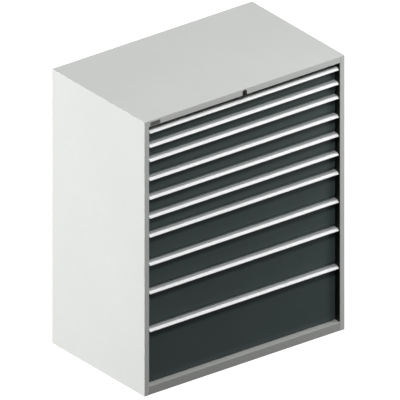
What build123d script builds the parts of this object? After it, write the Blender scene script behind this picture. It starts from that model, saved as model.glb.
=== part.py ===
from build123d import *
import os

# Industrial drawer cabinet, ten full-extension drawers in a welded sheet-steel
# housing, with one central lock in the head rail.
# Frame: X across the width, Y towards the rear (the front faces -Y), Z up.
# Origin: centre of the footprint, on the floor. Millimetres.

# ---------------------------------------------------------------- dimensions
WIDTH = 1193.0            # housing, outside
DEPTH = 725.0             # housing, front plane to rear plane
HEIGHT = 1450.0
T = 1.5                   # sheet thickness
LOCK_PROUD = 8.0          # the lock plug stands this far out of the front plane
SCREW_PROUD = 2.0         # rear screw heads
STILE_W = 28.0            # width of the front uprights, seen from the front
STILE_RETURN = 40.0
PLINTH_H = 46.0
HEAD_Z = 1417.0           # lower edge of the head rail
ANCHOR_X = 500.0          # floor anchor holes, half spacing
ANCHOR_R = 7.0

FRONT_HEIGHTS = [75, 75, 100, 100, 100, 100, 150, 150, 200, 300]
STACK_TOP = 1403.0        # upper boundary of the first drawer
FRONT_HALF = 563.5        # half width of fronts and handles
FRONT_RECESS = 32.0       # drawer front face behind the front plane
LOWEST_FRONT_Z = 50.0

TRAY_HALF = 545.5         # outside of the tray walls
TRAY_FRONT = 47.5         # distance of the tray behind the front plane
TRAY_REAR = 662.5
RAIL_UP = 28.0            # runner centre line above the drawer's lower boundary
RAIL_HALF = 14.0          # half height of a runner channel
CARR_X0, CARR_X1 = 556.5, 559.5      # carriage strip
CARR_Y0, CARR_Y1 = 62.0, 672.0
INNER_ROLLERS = (78.0, 322.0)
OUTER_ROLLERS = (402.0, 655.0)
ROLLER_R = 12.1
FIXED_X0, FIXED_X1 = 560.3, 571.0    # runner channel fixed in the housing
FIXED_Y0, FIXED_Y1 = 58.0, 704.0

LOCK_Z = 1431.5
LOCK_THROW = 14.0         # travel of the cross bar and of the locking bar
CAM_R = LOCK_THROW / 2 * 2 ** 0.5

HW = WIDTH / 2
YF = -(DEPTH + LOCK_PROUD + SCREW_PROUD) / 2 + LOCK_PROUD   # front plane
YB = YF + DEPTH                                             # rear plane

os.makedirs("parts", exist_ok=True)


def folded(path, t, r_in=1.0):
    """Closed outline of a strip of sheet that follows path, with its thickness on
    the left of the path, and the radius of each corner of the outline."""
    n = len(path)
    left = []
    for i in range(n):
        if i == 0 or i == n - 1:
            a, b = (path[0], path[1]) if i == 0 else (path[-2], path[-1])
            dx, dy = b[0] - a[0], b[1] - a[1]
            m = (dx * dx + dy * dy) ** 0.5
            left.append((path[i][0] - dy / m * t, path[i][1] + dx / m * t))
        else:
            (ax, ay), (bx, by), (cx, cy) = path[i - 1], path[i], path[i + 1]
            m1 = ((bx - ax) ** 2 + (by - ay) ** 2) ** 0.5
            m2 = ((cx - bx) ** 2 + (cy - by) ** 2) ** 0.5
            n1 = (-(by - ay) / m1, (bx - ax) / m1)
            n2 = (-(cy - by) / m2, (cx - bx) / m2)
            k = t / (1 + n1[0] * n2[0] + n1[1] * n2[1])
            left.append((bx + (n1[0] + n2[0]) * k, by + (n1[1] + n2[1]) * k))
    radii = [0.0] * (2 * n)
    for i in range(1, n - 1):
        (ax, ay), (bx, by), (cx, cy) = path[i - 1], path[i], path[i + 1]
        turn = (bx - ax) * (cy - by) - (by - ay) * (cx - bx)
        radii[i] = r_in + t if turn > 0 else r_in
        radii[2 * n - 1 - i] = r_in if turn > 0 else r_in + t
    return path + left[::-1], radii


def save(built, name):
    built.part.label = name
    export_step(built.part, f"parts/{name}.step")


# ------------------------------------------------------------------- housing
# Side panels: wall, front upright folded inwards twice, rear return.
for side, name in ((-1, "side_panel_left"), (1, "side_panel_right")):
    section = [
        (side * (HW - STILE_W), YF + STILE_RETURN),
        (side * (HW - STILE_W), YF),
        (side * HW, YF),
        (side * HW, YB),
        (side * (HW - 25.0), YB),
    ]
    if side < 0:
        section = section[::-1]
    pts, radii = folded(section, T)
    with BuildPart() as side_panel:
        with BuildSketch(Plane.XY):
            with BuildLine():
                FilletPolyline(*pts, radius=radii, close=True)
            make_face()
        extrude(amount=HEIGHT - T)
        with BuildSketch(Plane.XZ.offset(-(YB + 1))):
            with Locations(*[(side * (HW - 13.5), 60 + k * 221.0) for k in range(7)]):
                Circle(2.2)
        extrude(amount=4, mode=Mode.SUBTRACT)
    save(side_panel, name)

# Rear panel, behind the returns of the side panels.
with BuildPart() as rear_panel:
    with BuildSketch(Plane.XZ.offset(-(YB - T))):
        with Locations((0, (2 + HEIGHT - T - 0.2) / 2)):
            Rectangle(2 * (HW - T - 1.2), HEIGHT - T - 2.2)
        with Locations(*[(sx * (HW - 13.5), 60 + k * 221.0) for sx in (-1, 1) for k in range(7)]):
            Circle(2.2, mode=Mode.SUBTRACT)
    extrude(amount=T)
save(rear_panel, "rear_panel")

# Pan-head screws that hold the rear panel.
with BuildPart() as rear_panel_screws:
    with BuildSketch(Plane.XZ.offset(-YB)):
        with Locations(*[(sx * (HW - 13.5), 60 + k * 221.0) for sx in (-1, 1) for k in range(7)]):
            Circle(4.2)
    extrude(amount=-SCREW_PROUD)
    fillet(rear_panel_screws.edges().group_by(Axis.Y)[-1], radius=1.2)
    with BuildSketch(Plane.XZ.offset(-YB)):
        with Locations(*[(sx * (HW - 13.5), 60 + k * 221.0) for sx in (-1, 1) for k in range(7)]):
            Circle(2.0)
    extrude(amount=9)
    with BuildSketch(Plane.XZ.offset(-(YB + SCREW_PROUD))):
        with Locations(*[(sx * (HW - 13.5), 60 + k * 221.0) for sx in (-1, 1) for k in range(7)]):
            Rectangle(4.4, 0.9)
            Rectangle(0.9, 4.4)
    extrude(amount=1.2, mode=Mode.SUBTRACT)
save(rear_panel_screws, "rear_panel_screws")

# Top panel, flush with the walls, with flanges inside them.
with BuildPart() as top_panel:
    with BuildSketch(Plane.XY.offset(HEIGHT - T)):
        with Locations((0, (YF + YB) / 2)):
            Rectangle(WIDTH, DEPTH)
    extrude(amount=T)
    fillet(top_panel.edges().group_by(Axis.Z)[-1], radius=1.0)
    with BuildSketch(Plane.XY.offset(HEIGHT - T)):
        with Locations((-(HW - T - 0.95), (YF + YB) / 2), (HW - T - 0.95, (YF + YB) / 2)):
            Rectangle(T, DEPTH - 14)
    extrude(amount=-20)
save(top_panel, "top_panel")

# Plinth front: face, ledge under the lowest drawer, anchor flange on the floor.
pts, radii = folded([(YF + 45, PLINTH_H), (YF, PLINTH_H), (YF, 0), (YF + 36, 0)], T)
with BuildPart() as plinth_front:
    with BuildSketch(Plane.YZ.offset(-(HW - STILE_W - 0.2))):
        with BuildLine():
            FilletPolyline(*pts, radius=radii, close=True)
        make_face()
    extrude(amount=2 * (HW - STILE_W - 0.2))
    with BuildSketch(Plane.XY):
        with Locations((-ANCHOR_X, YF + 22), (ANCHOR_X, YF + 22)):
            Circle(ANCHOR_R)
    extrude(amount=T + 1, mode=Mode.SUBTRACT)
save(plinth_front, "plinth_front")

# Plinth rear: upstand and anchor flange.
pts, radii = folded([(YB - 36, 0), (YB - 3.6, 0), (YB - 3.6, PLINTH_H - T - 0.3)], T)
with BuildPart() as plinth_rear:
    with BuildSketch(Plane.YZ.offset(-(HW - T - 4))):
        with BuildLine():
            FilletPolyline(*pts, radius=radii, close=True)
        make_face()
    extrude(amount=2 * (HW - T - 4))
    with BuildSketch(Plane.XY):
        with Locations((-ANCHOR_X, YB - 22), (ANCHOR_X, YB - 22)):
            Circle(ANCHOR_R)
    extrude(amount=T + 1, mode=Mode.SUBTRACT)
save(plinth_rear, "plinth_rear")

# Floor of the housing, behind the plinth ledge.
with BuildPart() as floor_panel:
    with BuildSketch(Plane.XY.offset(PLINTH_H - T)):
        with Locations((0, (YF + 45.4 + YB - 3.4) / 2)):
            Rectangle(2 * (HW - T - 0.3), YB - 3.4 - YF - 45.4)
    extrude(amount=T)
    with BuildSketch(Plane.XY.offset(PLINTH_H - T)):
        with Locations((0, YF + 45.4 + T / 2), (0, YF + 400)):
            Rectangle(2 * (HW - T - 10), T)
    extrude(amount=-22)
save(floor_panel, "floor_panel")

# Head rail between the uprights, with the hole for the lock.
pts, radii = folded(
    [(YF + 20, HEIGHT - T - 0.1), (YF, HEIGHT - T - 0.1), (YF, HEAD_Z), (YF + 30, HEAD_Z)], T
)
with BuildPart() as head_rail:
    with BuildSketch(Plane.YZ.offset(-(HW - STILE_W - 0.2))):
        with BuildLine():
            FilletPolyline(*pts, radius=radii, close=True)
        make_face()
    extrude(amount=2 * (HW - STILE_W - 0.2))
    with BuildSketch(Plane.XZ.offset(-(YF - 1))):
        with Locations((0, LOCK_Z)):
            Circle(9.5)
    extrude(amount=-4, mode=Mode.SUBTRACT)
save(head_rail, "head_rail")

# Four slotted channels inside the walls, which carry the runners.
with BuildPart() as runner_uprights:
    for side in (-1, 1):
        for y0 in (62.0, 640.0):
            section = [
                (side * (HW - T), YF + y0),
                (side * FIXED_X1, YF + y0),
                (side * FIXED_X1, YF + y0 + 40),
                (side * (HW - T), YF + y0 + 40),
            ]
            if side > 0:
                section = section[::-1]
            pts, radii = folded(section, T)
            with BuildSketch(Plane.XY.offset(PLINTH_H)):
                with BuildLine():
                    FilletPolyline(*pts, radius=radii, close=True)
                make_face()
            extrude(amount=1427 - PLINTH_H)
    with BuildSketch(Plane.YZ.offset(-HW + 10)):
        with Locations(*[(YF + y0 + 20, 80 + k * 50.0) for y0 in (62.0, 640.0) for k in range(27)]):
            SlotOverall(12, 6, rotation=90)
    extrude(amount=2 * HW - 20, mode=Mode.SUBTRACT)
save(runner_uprights, "runner_uprights")

# ------------------------------------------------------------------- drawers
bounds = []
z = STACK_TOP
for h in FRONT_HEIGHTS:
    bounds.append((z - h, z))
    z -= h

for k, (zb, zt) in enumerate(bounds, start=1):
    z_low = LOWEST_FRONT_Z if k == len(bounds) else zb + 2.4
    z_top = zt - 3.0                       # reference line of front and handle
    z_high = zt - 1.6
    zr = zb + RAIL_UP

    # Tray: floor and side walls from one folded sheet, front and rear walls
    # welded in, a runner channel on each side, and the catch for the lock.
    wall_top = zt - 10.0
    pts, radii = folded(
        [(-TRAY_HALF, wall_top), (-TRAY_HALF, zb + 9), (TRAY_HALF, zb + 9), (TRAY_HALF, wall_top)], T
    )
    with BuildPart() as box:
        with BuildSketch(Plane.XZ.offset(-(YF + TRAY_FRONT))):
            with BuildLine():
                FilletPolyline(*pts, radius=radii, close=True)
            make_face()
        extrude(amount=-(TRAY_REAR - TRAY_FRONT))
        for y in (TRAY_FRONT, TRAY_REAR - T):
            with BuildSketch(Plane.XZ.offset(-(YF + y))):
                with Locations((0, (zb + 9 + wall_top) / 2)):
                    Rectangle(2 * TRAY_HALF, wall_top - zb - 9)
                fillet(vertices().group_by(Axis.Y)[0], radius=2.5)
            extrude(amount=-T)
    with BuildPart() as channels:
        for side in (-1, 1):
            section = [
                (side * CARR_X0 - side * 0.5, zr + RAIL_HALF),
                (side * TRAY_HALF, zr + RAIL_HALF),
                (side * TRAY_HALF, zr - RAIL_HALF),
                (side * CARR_X0 - side * 0.5, zr - RAIL_HALF),
            ]
            if side < 0:
                section = section[::-1]
            pts, radii = folded(section, T)
            with BuildSketch(Plane.XZ.offset(-(YF + 50))):
                with BuildLine():
                    FilletPolyline(*pts, radius=radii, close=True)
                make_face()
            extrude(amount=-(TRAY_REAR - 50.5))
    with BuildPart() as catch:
        with BuildSketch(Plane.YZ.offset(TRAY_HALF)):
            with Locations((YF + 69, zb + 51)):
                Rectangle(30, 10)
        extrude(amount=2)
        with BuildSketch(Plane.XZ.offset(-(YF + 54))):
            with Locations(((TRAY_HALF + 567.5) / 2, zb + 51)):
                Rectangle(567.5 - TRAY_HALF, 10)
        extrude(amount=-3)
    tray = Compound(
        label=f"drawer_{k:02d}_tray",
        children=[*box.part.solids(), *channels.part.solids(), *catch.part.solids()],
    )
    export_step(tray, f"parts/drawer_{k:02d}_tray.step")

    # Folded front panel, stepped back at the top where the handle sits.
    pts, radii = folded(
        [
            (YF + TRAY_FRONT - T, z_low + 14),
            (YF + TRAY_FRONT - T, z_low + T),
            (YF + FRONT_RECESS + T, z_low + T),
            (YF + FRONT_RECESS + T, z_top - 13.0),
            (YF + FRONT_RECESS + 5 + T, z_top - 13.0),
            (YF + FRONT_RECESS + 5 + T, z_high - T),
            (YF + TRAY_FRONT, z_high - T),
        ],
        T,
        0.3,
    )
    with BuildPart() as front:
        with BuildSketch(Plane.YZ.offset(-FRONT_HALF + 0.2)):
            with BuildLine():
                FilletPolyline(*pts, radius=radii, close=True)
            make_face()
        extrude(amount=2 * FRONT_HALF - 0.4)
        with BuildSketch(Plane.YZ.offset(-FRONT_HALF)):
            with BuildLine():
                Polyline(
                    (YF + TRAY_FRONT, z_low),
                    (YF + FRONT_RECESS + 0.3, z_low),
                    (YF + FRONT_RECESS, z_low + 0.3),
                    (YF + FRONT_RECESS, z_top - 11.5),
                    (YF + FRONT_RECESS + 5, z_top - 11.5),
                    (YF + FRONT_RECESS + 5, z_high - 0.3),
                    (YF + FRONT_RECESS + 5.3, z_high),
                    (YF + TRAY_FRONT, z_high),
                    close=True,
                )
            make_face()
        extrude(amount=T)
        with BuildSketch(Plane.YZ.offset(FRONT_HALF - T)):
            with BuildLine():
                Polyline(
                    (YF + TRAY_FRONT, z_low),
                    (YF + FRONT_RECESS + 0.3, z_low),
                    (YF + FRONT_RECESS, z_low + 0.3),
                    (YF + FRONT_RECESS, z_top - 11.5),
                    (YF + FRONT_RECESS + 5, z_top - 11.5),
                    (YF + FRONT_RECESS + 5, z_high - 0.3),
                    (YF + FRONT_RECESS + 5.3, z_high),
                    (YF + TRAY_FRONT, z_high),
                    close=True,
                )
            make_face()
        extrude(amount=T)
    save(front, f"drawer_{k:02d}_front")

    # Full-width grip: extruded profile with a sloping label channel, label strip
    # in the channel, and an end cap on each end. A finger reaches up behind the
    # lip from below.
    ux, uz = -0.8090, -0.5878              # direction down the sloping face
    nx, nz = 0.5878, -0.8090               # into the profile
    bx, bz = 14.0, -9.0                    # upper end of the sloping face
    cx, cz = bx + ux * 15.8, bz + uz * 15.8
    slope = [
        (bx, bz),
        (bx + ux * 2.6, bz + uz * 2.6),
        (bx + ux * 2.6 + nx * 0.9, bz + uz * 2.6 + nz * 0.9),
        (bx + ux * 14.9 + nx * 0.9, bz + uz * 14.9 + nz * 0.9),
        (bx + ux * 14.9, bz + uz * 14.9),
        (cx, cz),
    ]
    outline = [(37.0, -9.0)] + slope + [
        (cx, -20.9), (4.5, -20.9), (4.5, -19.27), (14.98, -11.5),
        (29.5, -11.5), (29.5, -32.0), (32.0, -32.0), (32.0, -11.5), (36.5, -11.5),
        (37.0, -11.0),
    ]
    with BuildPart() as profile:
        with BuildSketch(Plane.YZ.offset(-FRONT_HALF + 2.5)):
            with BuildLine():
                Polyline(*[(YF + d, z_top + e) for d, e in outline], close=True)
            make_face()
        extrude(amount=2 * (FRONT_HALF - 2.5))
    with BuildPart() as label_strip:
        with BuildSketch(Plane.YZ.offset(-FRONT_HALF + 3.5)):
            with BuildLine():
                Polyline(
                    *[
                        (YF + bx + ux * s + nx * q, z_top + bz + uz * s + nz * q)
                        for s, q in ((2.75, 0.1), (2.75, 0.9), (14.75, 0.9), (14.75, 0.1))
                    ],
                    close=True,
                )
            make_face()
        extrude(amount=2 * (FRONT_HALF - 3.5))
    with BuildPart() as end_caps:
        for x0 in (-FRONT_HALF, FRONT_HALF - 2.5):
            with BuildSketch(Plane.YZ.offset(x0)):
                with BuildLine():
                    Polyline(
                        *[
                            (YF + d, z_top + e)
                            for d, e in (
                                (37.0, -9.0), (bx, bz), (cx, cz), (cx, -20.9), (4.5, -20.9),
                                (13.0, -25.0), (29.5, -32.0), (32.0, -32.0), (32.0, -11.5),
                                (36.5, -11.5), (37.0, -11.0),
                            )
                        ],
                        close=True,
                    )
                make_face()
            extrude(amount=2.5)
    handle = Compound(
        label=f"drawer_{k:02d}_handle",
        children=[*profile.part.solids(), *label_strip.part.solids(), *end_caps.part.solids()],
    )
    export_step(handle, f"parts/drawer_{k:02d}_handle.step")

    # Carriages between the two channels of a drawer, left and right, each a strip
    # with studs and four rollers: the front pair runs in the drawer's channel,
    # the rear pair in the housing's.
    with BuildPart() as strips:
        for side in (-1, 1):
            x_in, x_out = (CARR_X0, CARR_X1) if side > 0 else (-CARR_X1, -CARR_X0)
            with BuildSketch(Plane.YZ.offset(x_in)):
                with Locations((YF + (CARR_Y0 + CARR_Y1) / 2, zr)):
                    RectangleRounded(CARR_Y1 - CARR_Y0, 26, 6)
            extrude(amount=3.0)
            inner, outer = (-8.7, 9.3) if side > 0 else (8.7, -9.3)
            with BuildSketch(Plane.YZ.offset(side * CARR_X0)):
                with Locations(*[(YF + y, zr) for y in INNER_ROLLERS]):
                    Circle(3.0)
            extrude(amount=inner)
            with BuildSketch(Plane.YZ.offset(side * CARR_X1)):
                with Locations(*[(YF + y, zr) for y in OUTER_ROLLERS]):
                    Circle(3.0)
            extrude(amount=outer)
    with BuildPart() as rollers:
        for side in (-1, 1):
            inner, outer = (-7.6, 8.2) if side > 0 else (7.6, -8.2)
            with BuildSketch(Plane.YZ.offset(side * (CARR_X0 - 0.4))):
                with Locations(*[(YF + y, zr) for y in INNER_ROLLERS]):
                    Circle(ROLLER_R)
                    Circle(3.05, mode=Mode.SUBTRACT)
            extrude(amount=inner)
            with BuildSketch(Plane.YZ.offset(side * (CARR_X1 + 0.5))):
                with Locations(*[(YF + y, zr) for y in OUTER_ROLLERS]):
                    Circle(ROLLER_R)
                    Circle(3.05, mode=Mode.SUBTRACT)
            extrude(amount=outer)
        chamfer(rollers.edges().filter_by(GeomType.CIRCLE).filter_by(lambda e: e.radius > 10), length=0.6)
    slide = Compound(
        label=f"slide_{k:02d}", children=[*strips.part.solids(), *rollers.part.solids()]
    )
    export_step(slide, f"parts/slide_{k:02d}.step")

# Runner channels fixed in the housing, one per drawer and side.
for side, name in ((-1, "cabinet_runners_left"), (1, "cabinet_runners_right")):
    with BuildPart() as runners:
        for zb, zt in bounds:
            zr = zb + RAIL_UP
            section = [
                (side * FIXED_X0, zr - RAIL_HALF),
                (side * FIXED_X1, zr - RAIL_HALF),
                (side * FIXED_X1, zr + RAIL_HALF),
                (side * FIXED_X0, zr + RAIL_HALF),
            ]
            if side < 0:
                section = section[::-1]
            pts, radii = folded(section, T)
            with BuildSketch(Plane.XZ.offset(-(YF + FIXED_Y0))):
                with BuildLine():
                    FilletPolyline(*pts, radius=radii, close=True)
                make_face()
            extrude(amount=-(FIXED_Y1 - FIXED_Y0))
    save(runners, name)

# ---------------------------------------------------------------------- lock
# Bezel: upright oval rose with the threaded barrel behind it.
with BuildPart() as lock_bezel:
    with BuildSketch(Plane.XZ.offset(-YF)):
        with Locations((0, LOCK_Z)):
            SlotOverall(30, 22, rotation=90)
    extrude(amount=6)
    fillet(lock_bezel.edges().group_by(Axis.Y)[0], radius=2.5)
    with BuildSketch(Plane.XZ.offset(-YF)):
        with Locations((0, LOCK_Z)):
            Circle(9.3)
    extrude(amount=-30)
    with BuildSketch(Plane.XZ.offset(-(YF - 7))):
        with Locations((0, LOCK_Z)):
            Circle(6.0)
    extrude(amount=-38, mode=Mode.SUBTRACT)
save(lock_bezel, "lock_bezel")

# Slotted ring nut that clamps the barrel to the head rail.
with BuildPart() as lock_nut:
    with BuildSketch(Plane.XZ.offset(-(YF + T + 0.1))):
        with Locations((0, LOCK_Z)):
            Circle(12.2)
            Circle(9.4, mode=Mode.SUBTRACT)
            Rectangle(30, 3, mode=Mode.SUBTRACT)
    extrude(amount=-2.5)
    with BuildSketch(Plane.XZ.offset(-(YF + T + 2.6))):
        with Locations((0, LOCK_Z)):
            Circle(12.2)
            Circle(9.4, mode=Mode.SUBTRACT)
    extrude(amount=-3)
save(lock_nut, "lock_nut")

# Plug that the key turns, with the keyway, and its tail for the cam.
with BuildPart() as lock_cylinder:
    with BuildSketch(Plane.XZ.offset(-(YF - LOCK_PROUD))):
        with Locations((0, LOCK_Z)):
            Circle(5.94)
    extrude(amount=-(LOCK_PROUD + 33.8))
    chamfer(lock_cylinder.edges().group_by(Axis.Y)[0], length=0.6)
    with BuildSketch(Plane.XZ.offset(-(YF + 33.8))):
        with Locations((0, LOCK_Z)):
            Circle(4.0)
    extrude(amount=-3.4)
    with BuildSketch(Plane.XZ.offset(-(YF - LOCK_PROUD))):
        with Locations((0, LOCK_Z)):
            Rectangle(1.8, 8.2)
            with Locations((0.9, 1.6)):
                Rectangle(1.6, 2.0)
    extrude(amount=-9, mode=Mode.SUBTRACT)
save(lock_cylinder, "lock_cylinder")

# Cam with the drive pin, held on the tail by a screw.
with BuildPart() as cam_plate:
    with BuildSketch(Plane.XZ.offset(-(YF + 34))):
        with BuildLine():
            Line((0, LOCK_Z), (CAM_R * 0.70711, LOCK_Z - CAM_R * 0.70711))
        trace(line_width=11)
        with Locations((0, LOCK_Z)):
            Circle(8.5)
        with Locations((CAM_R * 0.70711, LOCK_Z - CAM_R * 0.70711)):
            Circle(4.8)
        with Locations((0, LOCK_Z)):
            Circle(4.05, mode=Mode.SUBTRACT)
    extrude(amount=-3)
    with BuildSketch(Plane.XZ.offset(-(YF + 37))):
        with Locations((CAM_R * 0.70711, LOCK_Z - CAM_R * 0.70711)):
            Circle(2.5)
    extrude(amount=-9.5)
with BuildPart() as cam_screw:
    with BuildSketch(Plane.XZ.offset(-(YF + 37.2))):
        with Locations((0, LOCK_Z)):
            Circle(5.5)
            Rectangle(7.5, 1.2, mode=Mode.SUBTRACT)
    extrude(amount=-2.2)
lock_cam = Compound(label="lock_cam", children=[*cam_plate.part.solids(), *cam_screw.part.solids()])
export_step(lock_cam, "parts/lock_cam.step")

# Cross bar: the cam pin moves it sideways, its inclined slot lifts the locking bar.
PIN_X, PIN_Z = 572.7, 1415.5
BAR_Y0, BAR_Y1 = 42.0, 45.0
with BuildPart() as lock_cross_bar:
    with BuildSketch(Plane.XZ.offset(-(YF + BAR_Y0))):
        with BuildLine():
            Polyline(
                (-22, 1412), (560, 1412), (564, 1408), (592.5, 1408), (592.5, 1437),
                (564, 1437), (560, 1433), (-22, 1433), close=True,
            )
        make_face()
        with Locations((CAM_R * 0.70711, LOCK_Z - CAM_R * 0.8536)):
            SlotOverall(9.2, 5.9, rotation=90, mode=Mode.SUBTRACT)
        with Locations((PIN_X + LOCK_THROW / 2, PIN_Z + LOCK_THROW / 2)):
            SlotCenterToCenter(LOCK_THROW * 2 ** 0.5, 6.9, rotation=45, mode=Mode.SUBTRACT)
    extrude(amount=-(BAR_Y1 - BAR_Y0))
save(lock_cross_bar, "lock_cross_bar")

# Locking bar: upright flat bar beside the right front upright, a pin at its top
# in the cross bar's slot, and one tab in front of each drawer's catch.
with BuildPart() as bar_only:
    with BuildSketch(Plane.XY.offset(bounds[-1][0] + 20)):
        with Locations((572.7, YF + 51.5)):
            Rectangle(3, 9)
    extrude(amount=PIN_Z + 5 - bounds[-1][0] - 20)
    with BuildSketch(Plane.XY.offset(PIN_Z - 5)):
        with Locations((572.7, YF + 50)):
            Rectangle(6, 6)
    extrude(amount=10)
    with BuildSketch(Plane.XZ.offset(-(YF + 47.5))):
        with Locations((PIN_X, PIN_Z)):
            Circle(3.0)
    extrude(amount=6.5)
with BuildPart() as tabs:
    with BuildSketch(Plane.XZ.offset(-(YF + 48.5))):
        with Locations(*[((564.4 + 571.2) / 2, zb + 36.0) for zb, zt in bounds]):
            Rectangle(571.2 - 564.4, 12)
    extrude(amount=-3)
locking_bar = Compound(label="locking_bar", children=[*bar_only.part.solids(), *tabs.part.solids()])
export_step(locking_bar, "parts/locking_bar.step")

# Guides: three for the locking bar on the upright, two hangers for the cross bar.
with BuildPart() as lock_bar_guides:
    for zg in (330.0, 935.0, 1285.0):
        with BuildSketch(Plane.XY.offset(zg - 9)):
            with Locations((571.5, YF + 33)):
                Rectangle(3, 18)
            with Locations((575.6, YF + 51)):
                Rectangle(9.2, 18)
            with Locations((572.7, YF + 51.5)):
                Rectangle(3.8, 9.9, mode=Mode.SUBTRACT)
        extrude(amount=18)
    for xg in (190.0, 470.0):
        with BuildSketch(Plane.YZ.offset(xg - 10)):
            with Locations((YF + 43.5, (1408 + HEIGHT - T) / 2)):
                Rectangle(8.0, HEIGHT - T - 1408)
            with Locations((YF + 43.5, 1422.5)):
                Rectangle(3.9, 21.8, mode=Mode.SUBTRACT)
        extrude(amount=20)
save(lock_bar_guides, "lock_bar_guides")

# Blank plate at the left of the head rail.
with BuildPart() as badge_plate:
    with BuildSketch(Plane.XZ.offset(-YF)):
        with Locations((-532, 1431)):
            RectangleRounded(58, 20, 3)
    extrude(amount=1.0)
    fillet(badge_plate.edges().group_by(Axis.Y)[0], radius=0.4)
save(badge_plate, "badge_plate")
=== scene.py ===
import math

import bmesh
import bpy
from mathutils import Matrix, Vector


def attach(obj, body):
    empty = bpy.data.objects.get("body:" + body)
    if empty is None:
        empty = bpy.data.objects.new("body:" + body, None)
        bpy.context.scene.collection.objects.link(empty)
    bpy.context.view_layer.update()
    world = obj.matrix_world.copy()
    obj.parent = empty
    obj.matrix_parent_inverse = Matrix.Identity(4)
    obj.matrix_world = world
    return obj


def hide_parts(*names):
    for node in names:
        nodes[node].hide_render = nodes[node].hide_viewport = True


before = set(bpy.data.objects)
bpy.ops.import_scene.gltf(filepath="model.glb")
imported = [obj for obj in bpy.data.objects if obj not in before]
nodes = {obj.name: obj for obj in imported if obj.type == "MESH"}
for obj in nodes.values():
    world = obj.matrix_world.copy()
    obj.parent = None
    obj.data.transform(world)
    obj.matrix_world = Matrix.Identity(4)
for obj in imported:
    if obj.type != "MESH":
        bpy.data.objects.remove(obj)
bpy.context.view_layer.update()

MM = 0.001
YF = -359.5                      # front plane of the housing, millimetres
HEIGHTS = (75, 75, 100, 100, 100, 100, 150, 150, 200, 300)
STACK_TOP = 1403.0
RAIL_UP = 28.0
drawers = []
level = STACK_TOP
for h in HEIGHTS:
    drawers.append((level - h, level))
    level -= h


# ------------------------------------------------------------------ materials
class Shader:
    """A material with one Principled shader, and short calls for the nodes that feed it."""

    def __init__(self, name, **constants):
        self.m = bpy.data.materials.new(name)
        self.m.use_nodes = True
        self.nt = self.m.node_tree
        self.nt.nodes.clear()
        self.out = self.nt.nodes.new("ShaderNodeOutputMaterial")
        self.bsdf = self.nt.nodes.new("ShaderNodeBsdfPrincipled")
        self.nt.links.new(self.bsdf.outputs["BSDF"], self.out.inputs["Surface"])
        for key, value in constants.items():
            self.bsdf.inputs[key.replace("_", " ")].default_value = value
        self.place = self.nt.nodes.new("ShaderNodeTexCoord").outputs["Object"]
        self.normal = None

    def put(self, socket, value):
        if isinstance(value, bpy.types.NodeSocket):
            self.nt.links.new(value, socket)
        else:
            socket.default_value = value

    def stretched(self, scale, rotation=(0, 0, 0), location=(0, 0, 0)):
        n = self.nt.nodes.new("ShaderNodeMapping")
        self.put(n.inputs["Vector"], self.place)
        n.inputs["Scale"].default_value = scale
        n.inputs["Rotation"].default_value = rotation
        n.inputs["Location"].default_value = location
        return n.outputs["Vector"]

    def noise(self, scale, detail=2.0, rough=0.5, vector=None, distortion=0.0):
        n = self.nt.nodes.new("ShaderNodeTexNoise")
        self.put(n.inputs["Vector"], self.place if vector is None else vector)
        n.inputs["Scale"].default_value = scale
        n.inputs["Detail"].default_value = detail
        n.inputs["Roughness"].default_value = rough
        n.inputs["Distortion"].default_value = distortion
        return n.outputs[0]

    def cells(self, scale, vector=None, feature="F1", output="Distance", randomness=1.0):
        n = self.nt.nodes.new("ShaderNodeTexVoronoi")
        n.feature = feature
        self.put(n.inputs["Vector"], self.place if vector is None else vector)
        n.inputs["Scale"].default_value = scale
        n.inputs["Randomness"].default_value = randomness
        return n.outputs[output]

    def sum(self, *terms):
        """Each term is (socket, factor); the constant is a plain number."""
        total = None
        for term in terms:
            if isinstance(term, tuple):
                n = self.nt.nodes.new("ShaderNodeMath")
                n.operation = "MULTIPLY_ADD"
                self.put(n.inputs[0], term[0])
                n.inputs[1].default_value = term[1]
                self.put(n.inputs[2], 0.0 if total is None else total)
                total = n.outputs[0]
            else:
                n = self.nt.nodes.new("ShaderNodeMath")
                n.operation = "ADD"
                self.put(n.inputs[0], total)
                n.inputs[1].default_value = term
                total = n.outputs[0]
        return total

    def math(self, operation, a, b=0.0):
        n = self.nt.nodes.new("ShaderNodeMath")
        n.operation = operation
        self.put(n.inputs[0], a)
        self.put(n.inputs[1], b)
        return n.outputs[0]

    def spread(self, value, low, high, to_low=0.0, to_high=1.0):
        n = self.nt.nodes.new("ShaderNodeMapRange")
        n.interpolation_type = "SMOOTHSTEP"
        self.put(n.inputs["Value"], value)
        n.inputs["From Min"].default_value = low
        n.inputs["From Max"].default_value = high
        n.inputs["To Min"].default_value = to_low
        n.inputs["To Max"].default_value = to_high
        return n.outputs["Result"]

    def blend(self, factor, a, b, kind="MIX"):
        n = self.nt.nodes.new("ShaderNodeMix")
        n.data_type = "RGBA"
        n.blend_type = kind
        self.put(n.inputs[0], factor)
        for socket, value in ((n.inputs[6], a), (n.inputs[7], b)):
            self.put(socket, value if isinstance(value, bpy.types.NodeSocket) else (*value, 1.0))
        return n.outputs[2]

    def bump(self, height, distance, strength=1.0):
        n = self.nt.nodes.new("ShaderNodeBump")
        n.inputs["Strength"].default_value = strength
        n.inputs["Distance"].default_value = distance
        self.put(n.inputs["Height"], height)
        if self.normal is not None:
            self.put(n.inputs["Normal"], self.normal)
        self.normal = n.outputs["Normal"]

    def done(self, colour=None, rough=None, **links):
        if colour is not None:
            self.put(self.bsdf.inputs["Base Color"], colour)
        if rough is not None:
            self.put(self.bsdf.inputs["Roughness"], rough)
        for key, value in links.items():
            self.put(self.bsdf.inputs[key.replace("_", " ")], value)
        if self.normal is not None:
            self.put(self.bsdf.inputs["Normal"], self.normal)
        return self.m


def times(colour, factor):
    return tuple(c * factor for c in colour)


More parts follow.
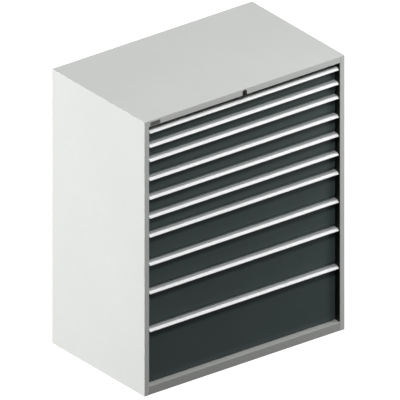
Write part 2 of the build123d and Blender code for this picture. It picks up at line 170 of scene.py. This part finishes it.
def powder_coat(name, base, rough, texture=1.0, mottle=0.03, low_darkening=0.0, painted_return_shade=None):
    """Baked powder coat: a fine orange peel with small pinholes, and slow changes of tone.
    The last argument is painted shade: a near-black colour on the inner return of the front uprights, which faces the
    drawers, standing in for the shadow in the gap beside the drawer fronts."""
    s = Shader(name, IOR=1.48)
    slow = s.noise(2.1, 3.0, 0.55)
    middle = s.noise(23.0, 2.0, 0.5)
    peel = s.noise(430.0, 2.0, 0.45)
    grain = s.noise(1500.0, 1.0, 0.5)
    tone = s.sum((slow, 0.62), (middle, 0.26), (grain, 0.12))
    colour = s.blend(s.spread(tone, 0.36, 0.64), times(base, 1.0 - mottle), times(base, 1.0 + mottle))
    pits = s.spread(s.cells(520.0), 0.0, 0.16)
    colour = s.blend(s.math("MULTIPLY", s.math("SUBTRACT", 1.0, pits), 0.10), colour, times(base, 0.75))
    if low_darkening:
        # a patchy, slightly warmer darkening low down, towards the floor
        at = s.nt.nodes.new("ShaderNodeSeparateXYZ")
        s.put(at.inputs[0], s.place)
        low = s.spread(at.outputs["Z"], 0.0, 0.16, 1.0, 0.0)
        patch = s.spread(s.noise(34.0, 4.0, 0.62), 0.42, 0.72)
        colour = s.blend(s.math("MULTIPLY", s.math("MULTIPLY", low, patch), low_darkening), colour, (0.42, 0.40, 0.37))
    # painted shade: the inner return of the front uprights, behind the front plane, is coloured near-black to stand in
    # for the shadow in the gap beside the drawer fronts
    if painted_return_shade:
        at = s.nt.nodes.new("ShaderNodeSeparateXYZ")
        s.put(at.inputs[0], s.place)
        inside = s.spread(s.math("ABSOLUTE", at.outputs["X"]), 0.5702, 0.5704, 1.0, 0.0)
        behind = s.spread(at.outputs["Y"], (YF + 1.3) * MM, (YF + 1.9) * MM)
        colour = s.blend(s.math("MULTIPLY", inside, behind), colour, painted_return_shade)
    s.bump(s.sum((peel, 1.0), (pits, 0.35)), 0.00012, 0.32 * texture)
    s.bump(grain, 0.00003, 0.30 * texture)
    return s.done(colour, s.sum((peel, 0.10), (slow, 0.06), rough - 0.08))


def anodised(name, base, rough):
    """Extruded aluminium, satin anodised: fine die lines that run along the profile."""
    s = Shader(name, Metallic=0.42, IOR=1.52)
    lines = s.noise(1.0, 3.0, 0.6, s.stretched((1.3, 900.0, 900.0)))
    broad = s.noise(1.0, 2.0, 0.5, s.stretched((2.0, 160.0, 160.0), location=(3.1, 0.7, 1.9)))
    cloud = s.noise(9.0, 3.0, 0.5)
    grain = s.noise(2600.0, 1.0, 0.5)
    tone = s.sum((lines, 0.55), (broad, 0.25), (cloud, 0.20))
    colour = s.blend(s.spread(tone, 0.34, 0.66), times(base, 0.955), times(base, 1.03))
    s.bump(lines, 0.00002, 0.45)
    s.bump(grain, 0.00001, 0.35)
    return s.done(colour, s.sum((lines, 0.14), (cloud, 0.08), rough - 0.11))


def label_card(name):
    """White card under a clear cover: paper fibre below, a smooth coat above."""
    s = Shader(name, Coat_Weight=0.55, Coat_Roughness=0.10, Coat_IOR=1.46, IOR=1.42)
    fibre = s.noise(1.0, 4.0, 0.62, s.stretched((900.0, 2100.0, 2100.0)))
    flecks = s.spread(s.cells(640.0), 0.0, 0.10)
    slow = s.noise(5.0, 2.0, 0.5)
    colour = s.blend(s.spread(s.sum((fibre, 0.6), (slow, 0.4)), 0.36, 0.64), (0.885, 0.888, 0.885), (0.925, 0.927, 0.922))
    colour = s.blend(s.math("MULTIPLY", s.math("SUBTRACT", 1.0, flecks), 0.05), colour, (0.70, 0.70, 0.69))
    s.bump(fibre, 0.00001, 0.3)
    return s.done(colour, s.sum((fibre, 0.12), 0.42))


def moulded(name, base, rough, grain_size=900.0, strength=0.35, mottle=0.04):
    """Moulded plastic with a spark-eroded grain."""
    s = Shader(name, IOR=1.50)
    grain = s.cells(grain_size, feature="SMOOTH_F1")
    fine = s.noise(grain_size * 2.4, 2.0, 0.5)
    slow = s.noise(60.0, 2.0, 0.5)
    tone = s.sum((fine, 0.5), (slow, 0.5))
    colour = s.blend(s.spread(tone, 0.36, 0.64), times(base, 1.0 - mottle), times(base, 1.0 + mottle))
    s.bump(s.sum((grain, 1.0), (fine, 0.4)), 0.00004, strength)
    return s.done(colour, s.sum((grain, 0.12), (slow, 0.06), rough - 0.06))


def zinc_plate(name, base, rough, spangle=120.0, tint=(0.98, 1.0, 1.03)):
    """Zinc plated or galvanised sheet: faint crystals, rolling lines and a cold tint."""
    s = Shader(name, Metallic=1.0)
    crystal = s.cells(spangle, output="Color")
    grey = s.nt.nodes.new("ShaderNodeRGBToBW")
    s.put(grey.inputs[0], crystal)
    rolled = s.noise(1.0, 3.0, 0.6, s.stretched((700.0, 4.0, 700.0)))
    cloud = s.noise(11.0, 4.0, 0.55)
    fine = s.noise(1900.0, 1.0, 0.5)
    tone = s.sum((grey.outputs[0], 0.30), (rolled, 0.35), (cloud, 0.35))
    cold = tuple(c * t for c, t in zip(base, tint))
    colour = s.blend(s.spread(tone, 0.30, 0.68), times(base, 0.86), times(cold, 1.06))
    s.bump(rolled, 0.00002, 0.35)
    s.bump(fine, 0.00001, 0.35)
    return s.done(colour, s.sum((grey.outputs[0], 0.14), (cloud, 0.12), rough - 0.12))


def satin_black(name, base, rough):
    s = Shader(name, IOR=1.52, Coat_Weight=0.25, Coat_Roughness=0.22)
    fine = s.noise(1700.0, 2.0, 0.5)
    slow = s.noise(120.0, 3.0, 0.5)
    colour = s.blend(s.spread(slow, 0.35, 0.65), times(base, 0.85), times(base, 1.2))
    rub = s.spread(s.noise(420.0, 4.0, 0.7), 0.60, 0.74)
    colour = s.blend(s.math("MULTIPLY", rub, 0.12), colour, (0.06, 0.06, 0.062))
    s.bump(fine, 0.00002, 0.4)
    return s.done(colour, s.sum((fine, 0.10), (slow, 0.08), rough - 0.09))


def brushed_dark(name, base, rough):
    """The blank plate: dark lacquer over brushed sheet."""
    s = Shader(name, IOR=1.50, Coat_Weight=0.3, Coat_Roughness=0.15)
    lines = s.noise(1.0, 3.0, 0.6, s.stretched((25.0, 1500.0, 1500.0)))
    slow = s.noise(70.0, 2.0, 0.5)
    colour = s.blend(s.spread(s.sum((lines, 0.6), (slow, 0.4)), 0.36, 0.64), times(base, 0.86), times(base, 1.14))
    s.bump(lines, 0.00002, 0.4)
    return s.done(colour, s.sum((lines, 0.18), rough - 0.09))


HOUSING = (0.600, 0.612, 0.594)
FRONT = (0.0530, 0.0735, 0.0720)

housing = powder_coat("housing_powder_coat", HOUSING, 0.46, texture=1.0, mottle=0.012)
# this coat carries painted shade: near-black on the inner returns of the front uprights
uprights = powder_coat("side_panel_powder_coat_painted_shade", HOUSING, 0.46, texture=1.0, mottle=0.012, painted_return_shade=(0.016, 0.018, 0.018))
# painted shade: the plinth is the housing paint darkened to 0.73, standing in for the shade low down near the floor
plinth = powder_coat("plinth_powder_coat_painted_shade", times(HOUSING, 0.73), 0.48, texture=1.0, mottle=0.014, low_darkening=0.18)
fronts = powder_coat("drawer_front_powder_coat", FRONT, 0.44, texture=1.15, mottle=0.045)
tray_coat = powder_coat("tray_powder_coat", (0.560, 0.572, 0.560), 0.50, texture=0.8, mottle=0.02)
aluminium = anodised("anodised_aluminium", (0.70, 0.71, 0.71), 0.44)
card = label_card("label_card")
cap_plastic = moulded("end_cap_plastic", (0.56, 0.565, 0.56), 0.50, 1100.0, 0.3)
black_plastic = moulded("black_plastic", (0.020, 0.020, 0.021), 0.48, 800.0, 0.4, 0.12)
roller_plastic = moulded("roller_plastic", (0.035, 0.035, 0.037), 0.38, 1500.0, 0.2, 0.10)
zinc = zinc_plate("zinc_plate", (0.46, 0.47, 0.476), 0.44)
zinc_bright = zinc_plate("zinc_bright", (0.53, 0.54, 0.548), 0.38, 420.0, (0.97, 1.0, 1.04))
lock_black = satin_black("lock_black", (0.0085, 0.0085, 0.009), 0.36)
plug_metal = satin_black("lock_plug_black", (0.011, 0.011, 0.0115), 0.34)
badge_dark = brushed_dark("badge_dark", (0.150, 0.149, 0.144), 0.42)

for name, material in {
    "side_panel_left": uprights, "side_panel_right": uprights, "top_panel": housing, "rear_panel": housing,
    "head_rail": housing, "plinth_front": plinth, "plinth_rear": plinth, "floor_panel": housing,
    "rear_panel_screws": zinc_bright, "runner_uprights": zinc, "cabinet_runners_left": zinc,
    "cabinet_runners_right": zinc, "lock_bezel": lock_black, "lock_nut": zinc_bright,
    "lock_cylinder": plug_metal, "lock_cam": zinc_bright, "lock_cross_bar": zinc, "locking_bar": zinc,
    "lock_bar_guides": black_plastic, "badge_plate": badge_dark,
    **{f"drawer_{k:02d}_front": fronts for k in range(1, 11)},
}.items():
    for place in nodes[name].material_slots:
        place.material = material


# ---------------------------------------------------------------- mesh helpers
class Mesh:
    """Collects faces in millimetres, in the row frame, and makes one object of them."""

    def __init__(self):
        self.v, self.f, self.m = [], [], []

    def add(self, verts, faces, slot=0):
        base = len(self.v)
        self.v += verts
        self.f += [tuple(base + i for i in face) for face in faces]
        self.m += [slot] * len(faces)

    def extrude(self, outline, along, a, b, slot=0):
        """A closed outline made into a bar from a to b. along(u, v, w) gives the point."""
        n = len(outline)
        verts = [along(u, v, w) for w in (a, b) for u, v in outline]
        faces = [(i, (i + 1) % n, n + (i + 1) % n, n + i) for i in range(n)]
        faces += [tuple(range(n))[::-1], tuple(range(n, 2 * n))]
        self.add(verts, faces, slot)

    def lathe(self, profile, centre, axis_sign=1, count=40, slot=0):
        """profile is (x, r) from one end to the other, about a line along X through centre."""
        cx, cy, cz = centre
        verts, rings, faces = [], [], []
        for x, r in profile:
            if r < 1e-6:
                rings.append([len(verts)])
                verts.append((cx + axis_sign * x, cy, cz))
            else:
                rings.append(list(range(len(verts), len(verts) + count)))
                for i in range(count):
                    t = 2 * math.pi * i / count
                    verts.append((cx + axis_sign * x, cy + r * math.cos(t), cz + r * math.sin(t)))
        for p, q in zip(rings, rings[1:]):
            for i in range(count):
                j = (i + 1) % count
                if len(p) == 1 and len(q) == 1:
                    break
                if len(p) == 1:
                    faces.append((p[0], q[i], q[j]))
                elif len(q) == 1:
                    faces.append((p[i], q[0], p[j]))
                else:
                    faces.append((p[i], q[i], q[j], p[j]))
        self.add(verts, faces, slot)

    def sheet(self, stations, across, place, is_hole=None, slot=0):
        """A sheet with real thickness and real openings. stations are pairs of points, one on each face of the sheet, across are the
        places along the third axis, and is_hole(i, j) leaves a cell out."""
        ni, nj, known = len(stations), len(across), {}

        def vert(side, i, j):
            key = (side, i, j)
            if key not in known:
                known[key] = len(verts)
                verts.append(place(*stations[i][side], across[j]))
            return known[key]

        def solid(i, j):
            return 0 <= i < ni - 1 and 0 <= j < nj - 1 and not (is_hole and is_hole(i, j))

        verts, faces = [], []
        for i in range(ni - 1):
            for j in range(nj - 1):
                if not solid(i, j):
                    continue
                faces.append((vert(0, i, j), vert(0, i + 1, j), vert(0, i + 1, j + 1), vert(0, i, j + 1)))
                faces.append((vert(1, i, j), vert(1, i, j + 1), vert(1, i + 1, j + 1), vert(1, i + 1, j)))
                for di, dj, e, g in (
                    (-1, 0, (i, j + 1), (i, j)), (1, 0, (i + 1, j), (i + 1, j + 1)),
                    (0, -1, (i, j), (i + 1, j)), (0, 1, (i + 1, j + 1), (i, j + 1)),
                ):
                    if not solid(i + di, j + dj):
                        faces.append((vert(0, *g), vert(0, *e), vert(1, *e), vert(1, *g)))
        self.add(verts, faces, slot)

    def plate(self, outer, holes, thickness, bevel, place, slot=0, segments=2):
        """A flat plate with holes and softened edges. place(u, v, w) gives the point, with w from 0 to thickness."""
        curve = bpy.data.curves.new("outline", "CURVE")
        curve.dimensions, curve.fill_mode = "2D", "BOTH"
        curve.extrude = thickness / 2 - bevel
        curve.bevel_depth, curve.bevel_resolution, curve.offset = bevel, segments - 1, -bevel
        for loop in (outer, *holes):
            spline = curve.splines.new("POLY")
            spline.points.add(len(loop) - 1)
            for point, (u, v) in zip(spline.points, loop):
                point.co = (u, v, 0, 1)
            spline.use_cyclic_u = True
        holder = bpy.data.objects.new("outline", curve)
        bpy.context.scene.collection.objects.link(holder)
        dg = bpy.context.evaluated_depsgraph_get()
        made = bpy.data.meshes.new_from_object(holder.evaluated_get(dg))
        bm = bmesh.new()
        bm.from_mesh(made)
        bmesh.ops.remove_doubles(bm, verts=bm.verts, dist=1e-4)
        bm.verts.index_update()
        self.add(
            [place(v.co.x, v.co.y, v.co.z + thickness / 2) for v in bm.verts],
            [tuple(v.index for v in f.verts) for f in bm.faces],
            slot,
        )
        bm.free()
        bpy.data.objects.remove(holder)
        bpy.data.meshes.remove(made)
        bpy.data.curves.remove(curve)

    def make(self, name, materials, body, stands_for, sharp=32.0):
        me = bpy.data.meshes.new(name)
        me.from_pydata([(x * MM, y * MM, z * MM) for x, y, z in self.v], [], self.f)
        for m in materials:
            me.materials.append(m)
        me.polygons.foreach_set("material_index", self.m)
        bm = bmesh.new()
        bm.from_mesh(me)
        bmesh.ops.recalc_face_normals(bm, faces=bm.faces)
        bm.to_mesh(me)
        bm.free()
        me.polygons.foreach_set("use_smooth", [True] * len(me.polygons))
        me.set_sharp_from_angle(angle=math.radians(sharp))
        me.update()
        ob = bpy.data.objects.new(name, me)
        bpy.context.scene.collection.objects.link(ob)
        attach(ob, body)
        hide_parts(stands_for)
        return ob


def arc_corner(a, p, b, r, step):
    """The points that round the corner p between a and b with radius r."""
    va, vb = (Vector(a) - Vector(p)), (Vector(b) - Vector(p))
    la, lb = va.length, vb.length
    va.normalize()
    vb.normalize()
    angle = va.angle(vb)
    if r <= 0 or math.pi - angle < 1e-3:
        return [tuple(p)]
    t = min(r / math.tan(angle / 2), 0.48 * la, 0.48 * lb)
    r = t * math.tan(angle / 2)
    centre = Vector(p) + (va + vb).normalized() * (r / math.sin(angle / 2))
    start, end = Vector(p) + va * t - centre, Vector(p) + vb * t - centre
    a0 = math.atan2(start.y, start.x)
    turn = (math.atan2(end.y, end.x) - a0 + math.pi) % (2 * math.pi) - math.pi
    n = max(2, math.ceil(abs(math.degrees(turn)) / step))
    return [(centre.x + r * math.cos(a0 + turn * i / n), centre.y + r * math.sin(a0 + turn * i / n)) for i in range(n + 1)]


def rounded(points, step=15.0):
    """A closed outline of (u, v, radius) with its corners rounded."""
    out = []
    for i, (u, v, r) in enumerate(points):
        out += arc_corner(points[i - 1][:2], (u, v), points[(i + 1) % len(points)][:2], r, step)
    return out


def folded(points, t, step=22.5):
    """Stations of a folded sheet of thickness t, from its middle line of (u, v, radius)."""
    line = [tuple(points[0][:2])]
    for a, p, b in zip(points, points[1:], points[2:]):
        line += arc_corner(a[:2], p[:2], b[:2], p[2], step)
    line.append(tuple(points[-1][:2]))
    out = []
    for i, p in enumerate(line):
        before = (Vector(p) - Vector(line[i - 1])).normalized() if i else None
        after = (Vector(line[i + 1]) - Vector(p)).normalized() if i < len(line) - 1 else None
        way = after if before is None else before if after is None else (before + after).normalized()
        stretch = 1.0 if before is None or after is None else 1.0 / max(0.5, way.dot(after))
        side = Vector((-way.y, way.x)) * t / 2 * stretch
        out.append(((p[0] - side.x, p[1] - side.y), (p[0] + side.x, p[1] + side.y)))
    return out


def circle(u, v, r, n=24):
    return [(u + r * math.cos(2 * math.pi * i / n), v + r * math.sin(2 * math.pi * i / n)) for i in range(n)]


def oblong(u0, u1, v, r, n=8):
    """A slot along u with round ends."""
    right = [(u1 - r + r * math.cos(math.pi * (i / n - 0.5)), v + r * math.sin(math.pi * (i / n - 0.5))) for i in range(n + 1)]
    left = [(u0 + r + r * math.cos(math.pi * (i / n + 0.5)), v + r * math.sin(math.pi * (i / n + 0.5))) for i in range(n + 1)]
    return right + left


def x_bar(u, v, w):
    """Outline in (depth, height), length along X."""
    return (w, YF + u, v)


# --------------------------------------------------------------- grip handles
UX, UZ, NX, NZ = -0.8090, -0.5878, 0.5878, -0.8090


def on_slope(s, q, r=0.0):
    """s down the sloping face from its upper edge, q into the profile."""
    return (14.0 + UX * s + NX * q, -9.0 + UZ * s + NZ * q, r)


NOSE = on_slope(15.8, 0.0)
PROFILE = [
    (37.0, -9.0, 0.25), (14.0, -9.0, 1.6),
    on_slope(3.1, 0.0, 0.15), on_slope(3.1, 0.34), on_slope(2.6, 0.34), on_slope(2.6, 0.95),
    on_slope(14.9, 0.95), on_slope(14.9, 0.34), on_slope(14.4, 0.34), on_slope(14.4, 0.0, 0.15),
    (NOSE[0], NOSE[1], 1.0), (NOSE[0], -20.9, 0.85), (4.5, -20.9, 0.7), (4.5, -19.27, 0.35),
    (14.98, -11.5, 2.0), (29.5, -11.5, 1.6), (29.5, -32.0, 0.5), (32.0, -32.0, 0.5),
    (32.0, -11.5, 0.3), (36.5, -11.5, 0.2), (37.0, -11.0, 0.2),
]
CARD = [on_slope(2.75, 0.38, 0.06), on_slope(14.75, 0.38, 0.06), on_slope(14.75, 0.90), on_slope(2.75, 0.90)]
CAP = [
    (37.0, -9.0, 0.3), (14.0, -9.0, 2.2), (NOSE[0], NOSE[1], 1.5), (NOSE[0], -20.9, 1.1), (4.5, -20.9, 0.9),
    (13.0, -25.0, 4.0), (29.5, -32.0, 1.2), (32.0, -32.0, 0.6), (32.0, -11.5, 0.3), (36.5, -11.5, 0.2), (37.0, -11.0, 0.2),
]

for k, (zb, zt) in enumerate(drawers, start=1):
    z_top = zt - 3.0
    tag = f"drawer_{k:02d}"

    def lifted(outline):
        return [(u, v + z_top) for u, v in outline]

    grip = Mesh()
    grip.extrude(lifted(rounded(PROFILE)), x_bar, -561.0, 561.0)
    grip.make(f"{tag}_grip_profile", [aluminium], tag, f"{tag}_handle", 24.0)

    strip = Mesh()
    strip.extrude(lifted(rounded(CARD)), x_bar, -560.0, 560.0)
    strip.make(f"{tag}_label_strip", [card], tag, f"{tag}_handle")

    caps = Mesh()
    for side in (-1, 1):
        outer = lifted(rounded(CAP, 12.0))
        screw = circle(23.5, z_top - 16.0, 2.5)

        def at_end(u, v, w, side=side):
            return (side * (561.0 + w), YF + u, v)

        caps.plate(outer, [screw], 2.5, 0.45, at_end)
        caps.plate(circle(23.5, z_top - 16.0, 2.3), [circle(23.5, z_top - 16.0, 1.1, 6)], 1.2, 0.3,
                   lambda u, v, w, side=side: (side * (561.6 + w), YF + u, v), slot=1)
    caps.make(f"{tag}_end_caps", [cap_plastic, zinc_bright], tag, f"{tag}_handle")


# ---------------------------------------------------------------------- trays
def slot_edges(first, count, pitch, width, low, high):
    """Sorted edges of a row of slots, with the ends of the sheet, and a test for a cell inside a slot."""
    cuts = sorted({low, high, *(first + i * pitch + s for i in range(count) for s in (-width / 2, width / 2))})
    starts = {round(first + i * pitch - width / 2, 4) for i in range(count)}
    return cuts, {i for i, c in enumerate(cuts) if round(c, 4) in starts}


for k, (zb, zt) in enumerate(drawers, start=1):
    tag = f"drawer_{k:02d}"
    floor_z, wall_top, zr = zb + 9.0, zt - 10.0, zb + RAIL_UP
    rows = []
    z0 = floor_z + 16.0
    while z0 + 12.0 <= wall_top - 8.0:
        rows.append(z0)
        z0 += 25.0
    row_edges = [e for r in rows for e in (r, r + 12.0)]

    shell = Mesh()
    # floor and side walls from one sheet, the upper edges hemmed outwards
    up = [(-544.75, e, 0.0) for e in row_edges]
    path = [(-547.35, wall_top - 9.0, 0.0), (-547.35, wall_top - 0.75, 1.25), (-544.75, wall_top - 0.75, 1.25)]
    path += up[::-1] + [(-544.75, floor_z + 0.75, 2.25), (544.75, floor_z + 0.75, 2.25)]
    path += [(544.75, e, 0.0) for e in row_edges]
    path += [(544.75, wall_top - 0.75, 1.25), (547.35, wall_top - 0.75, 1.25), (547.35, wall_top - 9.0, 0.0)]
    stations = folded(path, 1.5)
    lower = {round(r, 3) for r in rows}

    def low_edge(i):
        (ax, az), (bx, bz) = stations[i]
        if abs(az - bz) > 0.01 or not 540 < abs((ax + bx) / 2) < 546:
            return None
        return round(az, 3)

    holes = set()
    for i in range(len(stations) - 1):
        a, b = low_edge(i), low_edge(i + 1)
        if a is not None and b is not None and min(a, b) in lower and abs(abs(a - b) - 12.0) < 0.01:
            holes.add(i)
    across, cells = slot_edges(YF + 47.5 + 18.0, 35, 17.0, 2.6, YF + 47.5, YF + 662.5)
    shell.sheet(stations, across, lambda a, b, c: (a, c, b), lambda i, j: i in holes and j in cells)
    # front and rear wall between the side walls
    levels = sorted({floor_z + 1.7, wall_top, *row_edges})
    band = {i for i, z in enumerate(levels) if round(z, 3) in lower}
    across, cells = slot_edges(-31 * 17.0, 63, 17.0, 2.6, -543.9, 543.9)
    for d in (47.5, 661.0):
        pairs = [((YF + d, z), (YF + d + 1.5, z)) for z in levels]
        shell.sheet(pairs, across, lambda a, b, c: (c, a, b), lambda i, j: i in band and j in cells)
    shell.make(f"{tag}_tray_shell", [tray_coat], tag, f"{tag}_tray", 30.0)

    rails = Mesh()
    for side in (-1, 1):
        section = folded(
            [(side * 556.0, zr + 13.25, 0), (side * 546.25, zr + 13.25, 1.75), (side * 546.25, zr - 13.25, 1.75),
             (side * 556.0, zr - 13.25, 0)], 1.5)
        rails.sheet(section, [YF + 50.0, YF + 662.0], lambda a, b, c: (a, c, b))
        catch = folded([(side * 567.5, YF + 55.4, 0), (side * 546.8, YF + 55.4, 3.0), (side * 546.8, YF + 84.0, 0)], 2.4)
        rails.sheet(catch, [zb + 46.0, zb + 56.0], lambda a, b, c: (a, b, c), slot=1)
        for d in (67.0, 77.0):
            rails.lathe([(0.0, 0.0), (0.0, 2.0), (0.5, 2.0), (1.0, 1.4), (1.2, 0.0)],
                        (side * 547.95, YF + d, zb + 51.0), side, 20, 1)
    rails.make(f"{tag}_tray_channels", [zinc, zinc_bright], tag, f"{tag}_tray", 30.0)


# ------------------------------------------------------------------ carriages
ROLLER = [
    (0.0, 3.1), (0.0, 5.0), (0.5, 5.4), (0.5, 9.2), (0.0, 9.6), (0.0, 11.2), (0.25, 11.8), (0.8, 12.1),
    (6.8, 12.1), (7.35, 11.8), (7.6, 11.2), (7.6, 9.6), (7.1, 9.2), (7.1, 5.4), (7.6, 5.0), (7.6, 3.1), (0.0, 3.1),
]
STUD = [(0.0, 0.0), (0.0, 2.95), (7.9, 2.95), (7.9, 4.3), (8.25, 4.3), (8.65, 3.4), (8.7, 0.0)]

for k, (zb, zt) in enumerate(drawers, start=1):
    tag = f"slide_{k:02d}"
    zr = zb + RAIL_UP
    carriage = Mesh()
    for side in (-1, 1):
        outer = rounded([(62.0, zr - 13.0, 6.0), (672.0, zr - 13.0, 6.0), (672.0, zr + 13.0, 6.0), (62.0, zr + 13.0, 6.0)], 15.0)
        windows = [oblong(a, b, zr, 5.0) for a, b in
                   ((100, 150), (170, 220), (240, 290), (344, 380), (424, 474), (494, 544), (564, 614))]
        windows += [circle(d, zr, 1.8, 16) for d in (160, 230, 484, 554, 632)]
        carriage.plate(outer, windows, 3.0, 0.35, lambda u, v, w, side=side: (side * (556.5 + w), YF + u, v))
        for d in (78.0, 322.0):
            carriage.lathe(ROLLER, (side * 556.1, YF + d, zr), -side, 40, 1)
            carriage.lathe(STUD, (side * 556.5, YF + d, zr), -side, 24, 2)
        for d in (402.0, 655.0):
            carriage.lathe([(x * 8.2 / 7.6, r) for x, r in ROLLER], (side * 560.0, YF + d, zr), side, 40, 1)
            carriage.lathe([(x * 9.3 / 8.7, r) for x, r in STUD], (side * 559.5, YF + d, zr), side, 24, 2)
    carriage.make(f"{tag}_carriages", [zinc, roller_plastic, zinc_bright], tag, tag, 30.0)


# ------------------------------------------------------------ floor and world
def stage_floor():
    me = bpy.data.meshes.new("floor")
    bm = bmesh.new()
    bmesh.ops.create_circle(bm, cap_ends=True, radius=17.0, segments=96)
    bm.to_mesh(me)
    bm.free()
    ob = bpy.data.objects.new("floor", me)
    ob.location = (0.0, 0.0, -0.0005)
    bpy.context.scene.collection.objects.link(ob)
    m = bpy.data.materials.new("floor")
    m.use_nodes = True
    nt = m.node_tree
    nt.nodes.clear()
    out = nt.nodes.new("ShaderNodeOutputMaterial")
    diffuse = nt.nodes.new("ShaderNodeBsdfDiffuse")
    glow = nt.nodes.new("ShaderNodeEmission")
    add = nt.nodes.new("ShaderNodeAddShader")
    path = nt.nodes.new("ShaderNodeLightPath")
    seen = nt.nodes.new("ShaderNodeMath")
    seen.operation = "MULTIPLY"
    seen.inputs[1].default_value = FLOOR_GLOW
    tone = nt.nodes.new("ShaderNodeMixRGB")
    tone.inputs[1].default_value = (FLOOR_BOUNCE,) * 3 + (1.0,)
    tone.inputs[2].default_value = (0.22, 0.22, 0.22, 1.0)
    nt.links.new(path.outputs["Is Camera Ray"], tone.inputs[0])
    nt.links.new(tone.outputs[0], diffuse.inputs["Color"])
    nt.links.new(path.outputs["Is Camera Ray"], seen.inputs[0])
    nt.links.new(seen.outputs[0], glow.inputs["Strength"])
    nt.links.new(diffuse.outputs[0], add.inputs[0])
    nt.links.new(glow.outputs[0], add.inputs[1])
    nt.links.new(add.outputs[0], out.inputs["Surface"])
    me.materials.append(m)


def studio_world():
    world = bpy.data.worlds.new("studio")
    bpy.context.scene.world = world
    world.use_nodes = True
    nt = world.node_tree
    nt.nodes.clear()
    out = nt.nodes.new("ShaderNodeOutputWorld")
    back = nt.nodes.new("ShaderNodeBackground")
    white = nt.nodes.new("ShaderNodeBackground")
    mix = nt.nodes.new("ShaderNodeMixShader")
    path = nt.nodes.new("ShaderNodeLightPath")
    back.inputs["Color"].default_value = (1.0, 1.0, 1.0, 1.0)
    back.inputs["Strength"].default_value = WORLD
    white.inputs["Color"].default_value = (1.0, 1.0, 1.0, 1.0)
    white.inputs["Strength"].default_value = 1.05
    nt.links.new(path.outputs["Is Camera Ray"], mix.inputs[0])
    nt.links.new(back.outputs[0], mix.inputs[1])
    nt.links.new(white.outputs[0], mix.inputs[2])
    nt.links.new(mix.outputs[0], out.inputs["Surface"])


def softbox(name, at, to, width, height, power, colour=(1.0, 1.0, 1.0)):
    data = bpy.data.lights.new(name, "AREA")
    data.shape, data.size, data.size_y = "RECTANGLE", width, height
    data.energy, data.color = power, colour
    ob = bpy.data.objects.new(name, data)
    ob.location = at
    ob.rotation_mode = "QUATERNION"
    ob.rotation_quaternion = (Vector(to) - Vector(at)).to_track_quat("-Z", "Y")
    bpy.context.scene.collection.objects.link(ob)
    return ob


WORLD, FLOOR_BOUNCE, FLOOR_GLOW = 0.03, 0.12, 1.0
LIGHTS = {  # place, target, width, height, watts
    "left": ((-7.0, 1.2, 0.99), (0.0, 0.0, 0.95), 2.6, 0.9, 540.0),
    "key": ((0.5, -4.25, 6.2), (0.0, -0.3, 0.8), 1.15, 1.15, 240.0),
    "gloss": ((3.2, -1.5, 5.6), (0.0, -0.2, 0.9), 2.2, 2.2, 78.0),
    "top": ((-1.2, 2.8, 5.5), (0.0, 0.0, 1.2), 3.0, 3.0, 132.0),
    "right": ((2.4, -1.6, 1.0), (0.59, -0.36, 0.85), 0.8, 0.8, 19.0),
    "near": ((0.35, -1.6, 3.2), (0.15, -0.36, 1.0), 1.6, 1.0, 3.6),
    "rear": ((3.0, 7.0, 0.82), (0.0, 0.0, 0.75), 3.4, 1.1, 230.0),
    "side": ((7.2, 2.4, 0.82), (0.0, 0.0, 0.75), 2.6, 1.1, 330.0),
}

stage_floor()
studio_world()
for name, (at, to, width, height, watts) in LIGHTS.items():
    softbox(name, at, to, width, height, watts)

# --------------------------------------------------------------------- camera
AZIMUTH, ELEVATION = math.radians(-37.255), math.radians(26.3215)
back = Vector((math.sin(AZIMUTH) * math.cos(ELEVATION), -math.cos(AZIMUTH) * math.cos(ELEVATION), math.sin(ELEVATION)))
right = Vector((math.cos(AZIMUTH), math.sin(AZIMUTH), 0.0))
upward = back.cross(right)
aim = Vector((0.0, 0.003, 0.725)) + right * 0.00777 - upward * 0.00469
data = bpy.data.cameras.new("camera")
data.type, data.sensor_fit, data.ortho_scale = "ORTHO", "AUTO", 1.89734
data.clip_start, data.clip_end = 0.1, 60.0
camera = bpy.data.objects.new("camera", data)
camera.location = aim + back * 7.0
camera.rotation_mode = "QUATERNION"
camera.rotation_quaternion = (-back).to_track_quat("-Z", "Y")
bpy.context.scene.collection.objects.link(camera)
bpy.context.scene.camera = camera

bpy.context.scene.view_settings.view_transform = "Standard"
bpy.context.scene.view_settings.look = "None"

bpy.context.view_layer.update()
